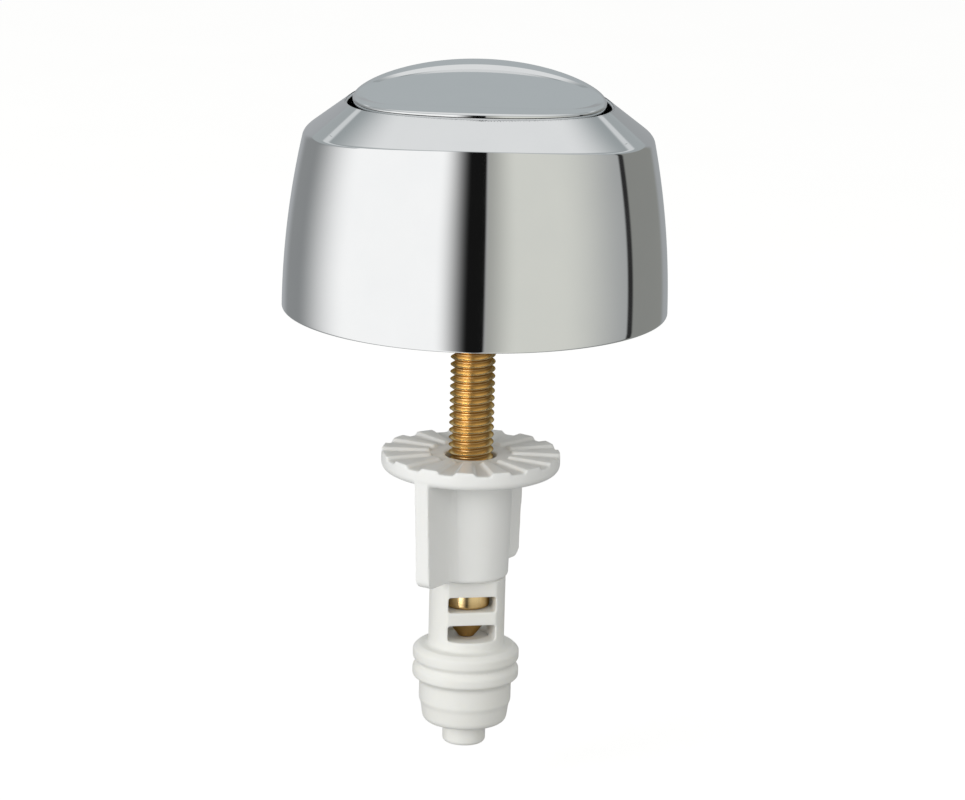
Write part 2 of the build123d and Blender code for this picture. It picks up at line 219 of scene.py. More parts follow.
TIP_TOP_ROUND = 0.15
TIP_SOCKET = 7.0
ROD_SOCKET = 0.82
BAR_LOW = NECK_LOW + NECK_PLAY
BAR_TOP = NECK_TOP - NECK_PLAY
SLOT_LOW = BAR_LOW - SLOT_HEIGHT
RIB_TOP = SLOT_LOW - TUBE_FOOT
PLUG_TOP = RIB_TOP - RIB_COUNT * RIB_PITCH
NOSE_TOP = PLUG_TOP - PLUG_LENGTH

# Fineness of the meshes, and how they are fused and cut
AROUND = 288
ARC_STEPS = 10
BOSS_SIDES = 48
HEAD_SIDES = 48
STUD_SIDES = 96
TIP_SIDES = 96
COUPLING_SIDES = 160
NUT_SIDES = 192
WIRE_SIDES = 16
COIL_STEPS = 48
SHOULDER_PASSES = 12
HALVINGS = 40
LONG_EDGE = 1.5
EDGE_SUPPORT = 0.08
CREASE = 32.0
NUT_VOXEL = 0.18
COUPLING_VOXEL = 0.15
MOULD_PASSES = 6
MOULD_SOFTNESS = 0.5
MERGE_GAP = 0.001
HEX_OUTSIDE = 0.9
CUT_OVER = 1.0
TINY = 1e-6


# Node trees


class Field:
    """A node's output, used in Python sums that add their Math nodes."""

    def __init__(self, board, socket):
        self.board = board
        self.socket = socket

    def math(self, operation, *values):
        return self.board.node("ShaderNodeMath", {"operation": operation}, dict(enumerate(values)))

    def __add__(self, other):
        return self.math("ADD", self, other)

    def __radd__(self, other):
        return self.math("ADD", other, self)

    def __sub__(self, other):
        return self.math("SUBTRACT", self, other)

    def __rsub__(self, other):
        return self.math("SUBTRACT", other, self)

    def __mul__(self, other):
        return self.math("MULTIPLY", self, other)

    def __rmul__(self, other):
        return self.math("MULTIPLY", other, self)

    def __truediv__(self, other):
        return self.math("DIVIDE", self, other)

    def __rtruediv__(self, other):
        return self.math("DIVIDE", other, self)

    def __gt__(self, other):
        return self.math("GREATER_THAN", self, other)

    def __lt__(self, other):
        return self.math("LESS_THAN", self, other)

    def __abs__(self):
        return self.math("ABSOLUTE", self)

    def least(self, other):
        return self.math("MINIMUM", self, other)

    def most(self, other):
        return self.math("MAXIMUM", self, other)


class Board:
    """A node tree to which nodes are added by type, settings and sockets."""

    def __init__(self, tree):
        self.tree = tree

    def node(self, kind, settings=None, sockets=None, output=0):
        """Adds a node and returns one of its outputs as a field."""
        node = self.tree.nodes.new(kind)
        for name, value in (settings or {}).items():
            setattr(node, name, value)
        for key, value in (sockets or {}).items():
            if isinstance(value, Field):
                self.tree.links.new(value.socket, node.inputs[key])
            else:
                node.inputs[key].default_value = value
        return Field(self, node.outputs[output]) if len(node.outputs) else None

    def coordinates(self):
        """Object coordinates: a vector, then its three parts in metres."""
        vector = self.node("ShaderNodeTexCoord", output="Object")
        parts = [self.node("ShaderNodeSeparateXYZ", {}, {0: vector}, axis) for axis in "XYZ"]
        return vector, parts

    def noise(self, vector, scale, detail=2.0, roughness=0.5):
        """Noise from 0 to 1 with its grain given in grains to the metre."""
        sockets = {"Vector": vector, "Scale": scale, "Detail": detail, "Roughness": roughness}
        return self.node("ShaderNodeTexNoise", {}, sockets)

    def rise(self, value, start, end, low=0.0, high=1.0):
        """Soft step from low to high as a value goes from start to end."""
        sockets = {"Value": value, "From Min": start, "From Max": end, "To Min": low, "To Max": high}
        return self.node("ShaderNodeMapRange", {"interpolation_type": "SMOOTHSTEP"}, sockets)

    def mix(self, share, first, second):
        """Colour between two colours."""
        return self.node("ShaderNodeMix", {"data_type": "RGBA"}, {0: share, 6: first, 7: second}, 2)

    def bump(self, height, distance, strength=1.0):
        """Normal from a height, where distance is its size in metres."""
        sockets = {"Height": height, "Distance": distance, "Strength": strength}
        return self.node("ShaderNodeBump", {}, sockets)


def colour(red, green, blue):
    """Opaque colour from linear values."""
    return (red, green, blue, 1.0)


def new_material(name):
    """Empty node material and its board."""
    material = bpy.data.materials.new(name)
    material.use_nodes = True
    material.node_tree.nodes.clear()
    return material, Board(material.node_tree)


def principled(name, describe):
    """Material with one principled shader, whose sockets a function gives for a board."""
    material, board = new_material(name)
    surface = board.node("ShaderNodeBsdfPrincipled", {}, describe(board))
    board.node("ShaderNodeOutputMaterial", {}, {"Surface": surface})
    return material


# Finishes


def bright_chrome(board):
    """Mirror plate over a polished moulding: faint haze in patches and a slight swim in the surface."""
    vector, _ = board.coordinates()
    haze = board.noise(vector, 180.0, 3.0)
    swim = board.noise(vector, 110.0, 1.0)
    return {
        "Base Color": board.mix(haze, colour(0.80, 0.81, 0.815), colour(0.845, 0.85, 0.85)),
        "Metallic": 1.0,
        "Roughness": 0.02 + 0.05 * haze,
        "Normal": board.bump(swim, 0.00002, 0.25),
    }


def turned_brass(board):
    """Cut brass: bright crests, painted shade in the roots and on the end inside the coupling, and fine
    tool marks round the axis.
    """
    vector, (x, y, z) = board.coordinates()
    radius = (x * x + y * y).math("SQRT", x * x + y * y)
    root = 1.0 - board.rise(radius, (STUD_RADIUS - THREAD_DEPTH) * MM, (STUD_RADIUS - CREST_BAND) * MM)
    patches = board.noise(vector, 420.0, 4.0, 0.6)
    lines = board.node("ShaderNodeCombineXYZ", {}, {0: radius * 9000.0, 2: z * 14000.0})
    marks = board.noise(lines, 1.0, 2.0)
    fresh = board.mix(patches, colour(0.97, 0.75, 0.42), colour(0.91, 0.68, 0.35))
    # Painted shade: the thread roots are painted browner and darker.
    shaded_roots = board.mix(root * (0.5 + 0.5 * patches), fresh, colour(0.47, 0.30, 0.12))
    # Painted shade: the end below the thread, inside the coupling, is painted darker.
    below = 1.0 - board.rise(z, NECK_TOP * MM, THREAD_LOW * MM)
    return {
        "Base Color": board.mix(0.75 * below, shaded_roots, colour(0.46, 0.29, 0.11)),
        "Metallic": 1.0,
        "Specular Tint": colour(0.30, 0.19, 0.08),
        "Roughness": 0.16 + 0.10 * marks + 0.20 * root,
        "Normal": board.bump(marks, 0.000012, 0.5),
    }


def white_moulding(board):
    """Satin white moulding: nearly even colour with a fine spark-eroded skin."""
    vector, _ = board.coordinates()
    cloud = board.noise(vector, 160.0, 2.0)
    skin = board.noise(vector, 5200.0, 2.0)
    return {
        "Base Color": board.mix(cloud, colour(0.845, 0.85, 0.835), colour(0.875, 0.88, 0.87)),
        "Roughness": 0.34 + 0.10 * skin,
        "Subsurface Weight": 0.12,
        "Subsurface Radius": (1.0, 0.95, 0.85),
        "Subsurface Scale": 0.0008,
        "Normal": board.bump(skin, 0.000012, 0.35),
    }


def milky_moulding(board):
    """Unpigmented moulding: milky, a little warmer and cloudier than the white one."""
    vector, _ = board.coordinates()
    cloud = board.noise(vector, 240.0, 3.0)
    skin = board.noise(vector, 4200.0, 2.0)
    return {
        "Base Color": board.mix(cloud, colour(0.80, 0.80, 0.765), colour(0.85, 0.85, 0.825)),
        "Roughness": 0.36 + 0.14 * skin,
        "Subsurface Weight": 0.3,
        "Subsurface Radius": (1.0, 0.95, 0.80),
        "Subsurface Scale": 0.0014,
        "Normal": board.bump(skin, 0.000014, 0.4),
    }


def plain_moulding(board):
    """Matt white moulding of the hidden core, with faint flow marks."""
    vector, _ = board.coordinates()
    flow = board.noise(vector, 320.0, 4.0, 0.6)
    skin = board.noise(vector, 3800.0, 2.0)
    return {
        "Base Color": board.mix(flow, colour(0.74, 0.74, 0.72), colour(0.82, 0.82, 0.80)),
        "Roughness": 0.48 + 0.14 * skin,
        "Normal": board.bump(skin, 0.00002, 0.5),
    }


def plain_steel(board):
    """Drawn steel: grey with long fine scratches along the axis."""
    vector, (x, y, z) = board.coordinates()
    stretched = board.node("ShaderNodeCombineXYZ", {}, {0: x * 9000.0, 1: y * 9000.0, 2: z * 500.0})
    scratches = board.noise(stretched, 1.0, 3.0)
    return {
        "Base Color": board.mix(scratches, colour(0.55, 0.55, 0.55), colour(0.68, 0.68, 0.67)),
        "Metallic": 1.0,
        "Roughness": 0.20 + 0.18 * scratches,
        "Normal": board.bump(scratches, 0.00001, 0.4),
    }


def black_rubber(board):
    """Soft black rubber with a dusty bloom."""
    vector, _ = board.coordinates()
    bloom = board.noise(vector, 700.0, 4.0, 0.6)
    return {
        "Base Color": board.mix(bloom, colour(0.018, 0.018, 0.019), colour(0.05, 0.05, 0.05)),
        "Roughness": 0.62 + 0.2 * bloom,
        "Normal": board.bump(bloom, 0.00003, 0.5),
    }


FINISHES = {
    "chrome": principled("bright_chrome", bright_chrome),
    "brass": principled("turned_brass", turned_brass),
    "white_plastic": principled("white_moulding", white_moulding),
    "natural_plastic": principled("milky_moulding", milky_moulding),
    "core_plastic": principled("plain_moulding", plain_moulding),
    "steel": principled("plain_steel", plain_steel),
    "rubber": principled("black_rubber", black_rubber),
}


# Meshes


def rounded_outline(corners):
    """Points of an outline from corners of radius, height and rounding, each rounding made an arc."""
    points = []
    for index, (radius, height, rounding) in enumerate(corners):
        here = Vector((radius, height))
        if not rounding:
            points.append(here)
            continue
        back = (Vector(corners[index - 1][:2]) - here).normalized()
        ahead = (Vector(corners[(index + 1) % len(corners)][:2]) - here).normalized()
        half = back.angle(ahead) / 2
        middle = here + (back + ahead).normalized() * (rounding / sin(half))
        start = here + back * (rounding / tan(half)) - middle
        end = here + ahead * (rounding / tan(half)) - middle
        sweep = atan2(start.x * end.y - start.y * end.x, start.dot(end))
        for step in range(ARC_STEPS + 1):
            angle = sweep * step / ARC_STEPS
            turned = (
                start.x * cos(angle) - start.y * sin(angle),
                start.x * sin(angle) + start.y * cos(angle),
            )
            points.append(middle + Vector(turned))
    return points


def long_edges(points, closed):
    """Which points of an outline start a long straight edge."""
    followers = points[1:] + points[:1] if closed else points[1:]
    lengths = [(there - here).length for here, there in zip(points, followers)]
    return {index for index, length in enumerate(lengths) if length > LONG_EDGE}


def supported(points, starts):
    """The same outline with extra points near the ends of the long edges that start where it is told."""
    result = []
    for index, here in enumerate(points):
        result.append(here)
        if index in starts:
            there = points[(index + 1) % len(points)]
            step = (there - here).normalized() * EDGE_SUPPORT
            result += [here + step, there - step]
    return result


def lathe(outline, segments=AROUND):
    """Mesh shaped about Z from corners in mm, the same all round or given for each angle; an outline
    that ends on the axis stays open there."""
    corners_at = outline if callable(outline) else lambda angle: outline
    first = rounded_outline(corners_at(0.0))
    closed = first[0].x > TINY
    starts = long_edges(first, closed)
    mesh = bmesh.new()
    rings = None
    for index in range(segments):
        angle = 2 * pi * index / segments
        points = supported(rounded_outline(corners_at(angle)), starts)
        if rings is None:
            rings = [[] for _ in points]
        for ring, (radius, height) in zip(rings, points):
            if radius > TINY or not ring:
                place = (radius * cos(angle) * MM, radius * sin(angle) * MM, height * MM)
                ring.append(mesh.verts.new(place))
    followers = rings[1:] + rings[:1] if closed else rings[1:]
    for ring, follower in zip(rings, followers):
        for index in range(segments):
            after = index + 1
            corner_verts = [
                ring[index % len(ring)],
                ring[after % len(ring)],
                follower[after % len(follower)],
                follower[index % len(follower)],
            ]
            mesh.faces.new(dict.fromkeys(corner_verts))
    bmesh.ops.recalc_face_normals(mesh, faces=mesh.faces)
    return mesh


def prism(outline, low, high):
    """Closed prism along Z from an outline in mm."""
    mesh = bmesh.new()
    face = mesh.faces.new([mesh.verts.new((x * MM, y * MM, low * MM)) for x, y in outline])
    pushed = bmesh.ops.extrude_face_region(mesh, geom=[face])
    moved = [item for item in pushed["geom"] if isinstance(item, bmesh.types.BMVert)]
    bmesh.ops.translate(mesh, verts=moved, vec=(0, 0, (high - low) * MM))
    bmesh.ops.recalc_face_normals(mesh, faces=mesh.faces)
    return mesh


def turn(mesh, angle, axis="Z"):
    """Turns a mesh about an axis by degrees."""
    turned = Matrix.Rotation(radians(angle), 3, axis)
    bmesh.ops.rotate(mesh, verts=mesh.verts, cent=(0, 0, 0), matrix=turned)
    return mesh


def joined(meshes):
    """One mesh that holds several."""
    result = bmesh.new()
    for mesh in meshes:
        data = bpy.data.meshes.new("joined")
        mesh.to_mesh(data)
        mesh.free()
        result.from_mesh(data)
        bpy.data.meshes.remove(data)
    return result


def to_object(name, mesh):
    """Object of a mesh, in the scene."""
    data = bpy.data.meshes.new(name)
    mesh.to_mesh(data)
    mesh.free()
    item = bpy.data.objects.new(name, data)
    bpy.context.scene.collection.objects.link(item)
    return item


def evaluated(item):
    """Mesh of an object with its modifiers applied; the object is removed."""
    depsgraph = bpy.context.evaluated_depsgraph_get()
    data = bpy.data.meshes.new_from_object(item.evaluated_get(depsgraph))
    mesh = bmesh.new()
    mesh.from_mesh(data)
    bpy.data.meshes.remove(data)
    bpy.data.objects.remove(item)
    return mesh


def moulded(mesh, voxel):
    """Fuses overlapping closed meshes into one skin with softly rounded edges, as a moulding has."""
    item = to_object("moulding", mesh)
    fuse = item.modifiers.new("fuse", "REMESH")
    fuse.mode = "VOXEL"
    fuse.voxel_size = voxel * MM
    soften = item.modifiers.new("soften", "SMOOTH")
    soften.factor = MOULD_SOFTNESS
    soften.iterations = MOULD_PASSES
    return evaluated(item)


def cut(mesh, cutters):
    """Mesh with others cut out of it."""
    item = to_object("cut", mesh)
    tools = []
    for cutter in cutters:
        tool = to_object("cutter", cutter)
        tools.append(tool)
        step = item.modifiers.new("cut", "BOOLEAN")
        step.operation = "DIFFERENCE"
        step.solver = "EXACT"
        step.object = tool
    result = evaluated(item)
    for tool in tools:
        bpy.data.objects.remove(tool)
    return result


def box(width, depth, low, high, middle_y=0.0):
    """Block in mm about the Z axis, or moved along Y."""
    mesh = bmesh.new()
    bmesh.ops.create_cube(mesh, size=1.0)
    bmesh.ops.scale(mesh, verts=mesh.verts, vec=(width * MM, depth * MM, (high - low) * MM))
    bmesh.ops.translate(mesh, verts=mesh.verts, vec=(0, middle_y * MM, (low + high) / 2 * MM))
    return mesh


def piece(name, mesh, slot, body, node):
    """Finished piece that stands for a solid: smooth, with its finish, on its body."""
    item = to_object(name, mesh)
    item.data.materials.clear()
    item.data.materials.append(FINISHES[slot])
    item.data.shade_smooth()
    item.data.set_sharp_from_angle(angle=radians(CREASE))
    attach(item, body)
    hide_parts(node)
    return item


# Rules built from Geometry Nodes


def new_rule(name, inputs):
    """Geometry tree with named inputs; returns its board, its input fields and the tree."""
    tree = bpy.data.node_groups.new(name, "GeometryNodeTree")
    tree.interface.new_socket(name="Geometry", in_out="OUTPUT", socket_type="NodeSocketGeometry")
    for label, kind in inputs.items():
        tree.interface.new_socket(name=label, in_out="INPUT", socket_type=kind)
    board = Board(tree)
    source = tree.nodes.new("NodeGroupInput")
    fields = {label: Field(board, source.outputs[label]) for label in inputs}
    return board, fields, tree


def end_rule(board, geometry, finish):
    """Closes a geometry tree: real instances, then the finish."""
    real = board.node("GeometryNodeRealizeInstances", {}, {"Geometry": geometry})
    done = board.node("GeometryNodeSetMaterial", {}, {"Geometry": real, "Material": finish})
    board.node("NodeGroupOutput", {}, {"Geometry": done})


def grown(tree, values):
    """Mesh that a geometry tree makes from values for its named inputs."""
    item = to_object(tree.name, bmesh.new())
    rule = item.modifiers.new("rule", "NODES")
    rule.node_group = tree
    for socket in tree.interface.items_tree:
        if socket.in_out == "INPUT":
            rule[socket.identifier] = values[socket.name]
    mesh = evaluated(item)
    bmesh.ops.recalc_face_normals(mesh, faces=mesh.faces)
    return mesh


def thread_rule():
    """A helix of thread on a bored bar: a grid whose rows follow the helix, rolled round the axis."""
    names = ("Radius", "Depth", "Pitch", "Bore", "Low", "High", "Turns", "Chamfer")
    board, given, tree = new_rule("thread", dict.fromkeys(names, "NodeSocketFloat"))
    last_row = (given["Turns"] * ROWS_PER_PITCH) + 2.0
    grid = board.node(
        "GeometryNodeMeshGrid",
        {},
        {"Size X": 1.0, "Size Y": 1.0, "Vertices X": THREAD_COLUMNS + 1, "Vertices Y": last_row + 1.0},
    )
    place = board.node("GeometryNodeInputPosition")
    across = board.node("ShaderNodeSeparateXYZ", {}, {0: place}, "X")
    along = board.node("ShaderNodeSeparateXYZ", {}, {0: place}, "Y")
    share = across + 0.5
    row = ((along + 0.5) * last_row).math("ROUND", (along + 0.5) * last_row)
    step = (row - 1.0) / ROWS_PER_PITCH
    height = given["Low"] + (step + share - 1.0) * given["Pitch"]
    height = height.most(given["Low"]).least(given["High"])
    from_crest = abs(2.0 * step.math("FRACT", step) - 1.0)
    groove = ((from_crest - CREST_FLAT) / (1.0 - CREST_FLAT - ROOT_FLAT)).most(0.0).least(1.0)
    radius = given["Radius"] - given["Depth"] * groove
    radius = radius.least(given["Radius"] - given["Chamfer"] + height - given["Low"])
    radius = radius.least(given["Radius"] - given["Chamfer"] + given["High"] - height)
    at_low = (row < 0.5).most(row > last_row - 0.5)
    at_high = abs(row - (last_row - 1.0)) < 0.5
    at_bore = at_low.most(at_high)
    radius = radius * (1.0 - at_bore) + given["Bore"] * at_bore
    height = height * (1.0 - at_bore) + given["Low"] * at_low + given["High"] * at_high
    angle = share * (2 * pi)
    rolled = board.node(
        "ShaderNodeCombineXYZ",
        {},
        {0: radius * angle.math("COSINE", angle), 1: radius * angle.math("SINE", angle), 2: height},
    )
    shaped = board.node("GeometryNodeSetPosition", {}, {"Geometry": grid, "Position": rolled})
    closed = board.node("GeometryNodeMergeByDistance", {}, {"Geometry": shaped, "Distance": MERGE_GAP * MM})
    end_rule(board, closed, FINISHES["brass"])
    return tree


def coil_rule():
    """A round wire wound in a helix about the axis."""
    names = ("Radius", "Wire", "Turns", "Low", "Height")
    board, given, tree = new_rule("coil", dict.fromkeys(names, "NodeSocketFloat"))
    spiral = board.node("GeometryNodeCurveSpiral", {}, {
        "Resolution": COIL_STEPS,
        "Rotations": given["Turns"],
        "Start Radius": given["Radius"],
        "End Radius": given["Radius"],
        "Height": given["Height"],
    })
    section = board.node("GeometryNodeCurvePrimitiveCircle", {}, {
        "Resolution": WIRE_SIDES,
        "Radius": given["Wire"] / 2.0,
    })
    wire = board.node(
        "GeometryNodeCurveToMesh", {}, {"Curve": spiral, "Profile Curve": section, "Fill Caps": True}
    )
    lift = board.node("ShaderNodeCombineXYZ", {}, {2: given["Low"]})
    placed = board.node("GeometryNodeTransform", {}, {"Geometry": wire, "Translation": lift})
    end_rule(board, placed, FINISHES["steel"])
    return tree


def ridge_rule():
    """Copies of one ridge, evenly turned about the axis."""
    board, given, tree = new_rule(
        "ridges", {"Ridge": "NodeSocketObject", "Count": "NodeSocketInt", "Start": "NodeSocketFloat"}
    )
    ridge = board.node("GeometryNodeObjectInfo", {}, {"Object": given["Ridge"]}, "Geometry")
    points = board.node("GeometryNodePoints", {}, {"Count": given["Count"]})
    index = board.node("GeometryNodeInputIndex")
    angle = given["Start"] + index * (2 * pi) / given["Count"]
    turned = board.node("ShaderNodeCombineXYZ", {}, {2: angle})
    copies = board.node(
        "GeometryNodeInstanceOnPoints", {}, {"Points": points, "Instance": ridge, "Rotation": turned}
    )
    end_rule(board, copies, FINISHES["white_plastic"])
    return tree


# Pieces


def skirt_radius(height, inset=0.0):
    """Radius of the skirt's curve at a height, with the skin moved in by inset."""
    return RIM_RADIUS - SKIRT_ARC + sqrt((SKIRT_ARC - inset) ** 2 - height**2)


def facet_height(radius, angle, inset=0.0):
    """Height of the facet over a point, with its skin moved in by inset."""
    drop = inset / cos(radians(FRONT_SLOPE))

    def beyond(height):
        side = OPENING_RADIUS + (OPENING_HEIGHT - OPENING_DIP - height) / tan(radians(SIDE_SLOPE))
        front = OPENING_RADIUS + (OPENING_HEIGHT - height) / tan(radians(FRONT_SLOPE))
        return hypot(radius * cos(angle) / side, radius * sin(angle) / front) > 1.0

    low, high = 0.0, CROWN_TOP
    for _ in range(HALVINGS):
        middle = (low + high) / 2
        low, high = (low, middle) if beyond(middle) else (middle, high)
    return low - drop


def shoulder_height(angle, inset=0.0):
    """Height at which the facet meets the skirt, with the skin moved in by inset."""
    height = OPENING_HEIGHT
    for _ in range(SHOULDER_PASSES):
        height = facet_height(skirt_radius(height, inset), angle, inset)
    return height


def dome_outline(angle):
    """Corners of the dome's wall at an angle: outside from the rim up, then the collar and the inside."""
    shoulder = shoulder_height(angle)
    inner_shoulder = shoulder_height(angle, SHELL_WALL)
    shoulder_radius = skirt_radius(shoulder)
    shoulder_round = SHOULDER_FRONT + (SHOULDER_SIDE - SHOULDER_FRONT) * cos(angle) ** 2
    support = SHOULDER_SUPPORT * shoulder_round
    collar_low = OPENING_HEIGHT - COLLAR_DEPTH
    collar_radius = OPENING_RADIUS + COLLAR_WALL
    outside = []
    inside = []
    for step in range(1, SKIRT_STEPS):
        share = step / SKIRT_STEPS
        outside.append((skirt_radius(shoulder * share), shoulder * share, 0))
        inside.append((skirt_radius(inner_shoulder * share, SHELL_WALL), inner_shoulder * share, 0))
    outside.append((skirt_radius(shoulder - support), shoulder - support, 0))
    facet = []
    start = shoulder_radius - support
    end = OPENING_RADIUS + OPENING_SUPPORT
    for step in range(FACET_STEPS + 1):
        radius = start + (end - start) * step / FACET_STEPS
        facet.append((radius, facet_height(radius, angle), 0))
    return [
        (skirt_radius(0, SHELL_WALL), 0, 0),
        (RIM_RADIUS, 0, RIM_ROUND),
        *outside,
        (shoulder_radius, shoulder, shoulder_round),
        *facet,
        (OPENING_RADIUS, facet_height(OPENING_RADIUS, angle), OPENING_ROUND),
        (OPENING_RADIUS, collar_low, EDGE_ROUND),
        (collar_radius, collar_low, EDGE_ROUND),
        (collar_radius, facet_height(collar_radius, angle, SHELL_WALL), 0),
        (skirt_radius(inner_shoulder, SHELL_WALL), inner_shoulder, 0),
        *reversed(inside),
    ]


def chrome_dome():
    """Shell with a turned skirt, an arched facet, a collar round the opening and screw bosses inside."""
    bosses = []
    for number in (1, 2, 3):
        screw_low, screw_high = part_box(f"core_screw_{number}")
        middle = (screw_low + screw_high) / 2
        radius = hypot(middle.x, middle.y) / MM
        top = facet_height(radius, atan2(middle.y, middle.x), SHELL_WALL)
        boss = lathe([
            (0, PLATE_TOP, 0),
            (BOSS_RADIUS, PLATE_TOP, EDGE_ROUND),
            (BOSS_RADIUS, top, 0),
            (0, top, 0),
        ], BOSS_SIDES)
        bmesh.ops.translate(boss, verts=boss.verts, vec=(middle.x, middle.y, 0))
        bosses.append(boss)
    return piece("chrome_dome", joined([lathe(dome_outline), *bosses]), "chrome", "housing", "dome_shell")


def arched(radius, angle, arc, top):
    """Height of a surface arched from side to side, whose ridge is pitched to the front."""
    across = radius * cos(angle)
    along = radius * sin(angle)
    return top + along * tan(radians(CROWN_PITCH)) - arc + sqrt(arc**2 - across**2)


def button_outline(angle):
    """Corners of the button's cap at an angle: dish from the middle, lip, crown, side and hollow."""
    dish_radius = 1.0 / hypot(cos(angle) / DISH_SIDE, sin(angle) / DISH_FRONT)
    lip_radius = dish_radius + LIP_SLOPE
    bore = BUTTON_RADIUS - CAP_SIDE

    def crown(radius):
        return arched(radius, angle, CROWN_ARC, CROWN_TOP)

    def floor(radius):
        return min(crown(radius), arched(radius, angle, DISH_ARC, CROWN_TOP - DISH_DEPTH))

    steps = [dish_radius * step / DISH_STEPS for step in range(DISH_STEPS)]
    dish = [(radius, floor(radius), 0) for radius in steps]
    spread = BUTTON_RADIUS - CROWN_SUPPORT - lip_radius
    steps = [lip_radius + spread * step / CROWN_STEPS for step in range(1, CROWN_STEPS + 1)]
    rim = [(radius, crown(radius), 0) for radius in steps]
    return [
        *dish,
        (dish_radius, floor(dish_radius), LIP_ROUND),
        (lip_radius, crown(lip_radius), LIP_ROUND),
        *rim,
        (BUTTON_RADIUS, crown(BUTTON_RADIUS), CROWN_ROUND),
        (BUTTON_RADIUS, BUTTON_LOW, EDGE_ROUND),
        (bore, BUTTON_LOW, EDGE_ROUND),
        (bore, CAP_UNDER, 0),
        (0, CAP_UNDER, 0),
    ]


def chrome_button():
    """Cap with an arched crown and an oval dish, its side running down into the opening."""
    return piece("chrome_button", lathe(button_outline), "chrome", "button", "push_button")


def return_coil():
    """Spring under the button, built at its rest length."""
    wire = grown(coil_rule(), {
        "Radius": SPRING_RADIUS * MM,
        "Wire": SPRING_WIRE * MM,
        "Turns": SPRING_TURNS,
        "Low": (SPRING_LOW + SPRING_WIRE / 2) * MM,
        "Height": (SPRING_HIGH - SPRING_LOW - SPRING_WIRE) * MM,
    })
    coil = piece("return_coil", wire, "steel", "housing", "return_spring")
    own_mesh(coil)


def brass_stud():
    """Bored stud: hexagon head, helical thread, clip groove and cone point."""
    turns = ceil((HEX_SEAT - THREAD_LOW) / THREAD_PITCH) + 1.0
    thread = grown(thread_rule(), {
        "Radius": STUD_RADIUS * MM,
        "Depth": THREAD_DEPTH * MM,
        "Pitch": THREAD_PITCH * MM,
        "Bore": STUD_BORE * MM,
        "Low": THREAD_LOW * MM,
        "High": HEX_SEAT * MM,
        "Turns": turns,
        "Chamfer": (THREAD_DEPTH + THREAD_SINK) * MM,
    })
    point = lathe([
        (STUD_BORE, STUD_LOW, 0),
        (POINT_FLAT, STUD_LOW, NECK_ROUND),
        (POINT_RADIUS, NECK_LOW, POINT_ROUND),
        (NECK_RADIUS, NECK_LOW, NECK_ROUND),
        (NECK_RADIUS, NECK_TOP, NECK_ROUND),
        (STUD_RADIUS, NECK_TOP, END_ROUND),
        (STUD_RADIUS, THREAD_LOW, END_TOP_ROUND),
        (THREAD_CORE, THREAD_LOW, 0),
        (THREAD_CORE, THREAD_LOW + THREAD_PITCH, 0),
        (STUD_BORE, THREAD_LOW + THREAD_PITCH, 0),
    ], STUD_SIDES)
    apothem = HEX_FLATS / 2
    head = lathe([
        (STUD_BORE, HEX_SEAT, 0),
        (apothem, HEX_SEAT, HEX_ROUND),
        (apothem, HEX_TOP, HEX_ROUND),
        (STUD_BORE, HEX_TOP, 0),
    ], HEAD_SIDES)
    for vert in head.verts:
        radius = hypot(vert.co.x, vert.co.y)
        if radius > HEX_OUTSIDE * apothem * MM:
            off_flat = (degrees(atan2(vert.co.y, vert.co.x)) % HEX_ANGLE) - HEX_ANGLE / 2
            vert.co.xy *= 1.0 / cos(radians(off_flat))
    return piece("brass_stud", joined([thread, point, head]), "brass", "housing", "threaded_stud")


def nut_wing():
    """One wing along X: an upright plate with a drafted end and a root filled out at the barrel."""
    low = NUT_LOW + WING_LIFT
    high = FLANGE_LOW + FLANGE_ROUND
    side = rounded_outline([
        (WING_INNER, low, 0),
        (WING_REACH - WING_DRAFT, low, WING_ROUND),
        (WING_REACH, high, 0),
        (WING_INNER, high, 0),
    ])
    plate = turn(prism(side, -WING_THICKNESS / 2, WING_THICKNESS / 2), 90.0, "X")
    middle_y = WING_THICKNESS / 2 + WING_ROOT_ROUND
    middle_x = sqrt((BARREL_RADIUS + WING_ROOT_ROUND) ** 2 - middle_y**2)
    sweep = pi / 2 - atan2(middle_y, middle_x)
    fill = []
    for step in range(ARC_STEPS + 1):
        angle = 1.5 * pi - sweep * step / ARC_STEPS
        fill.append((middle_x + WING_ROOT_ROUND * cos(angle), middle_y + WING_ROOT_ROUND * sin(angle)))
    fill.append((WING_INNER, fill[-1][1]))
    root = prism(fill + [(x, -y) for x, y in reversed(fill)], low, high)
    return joined([plate, root])


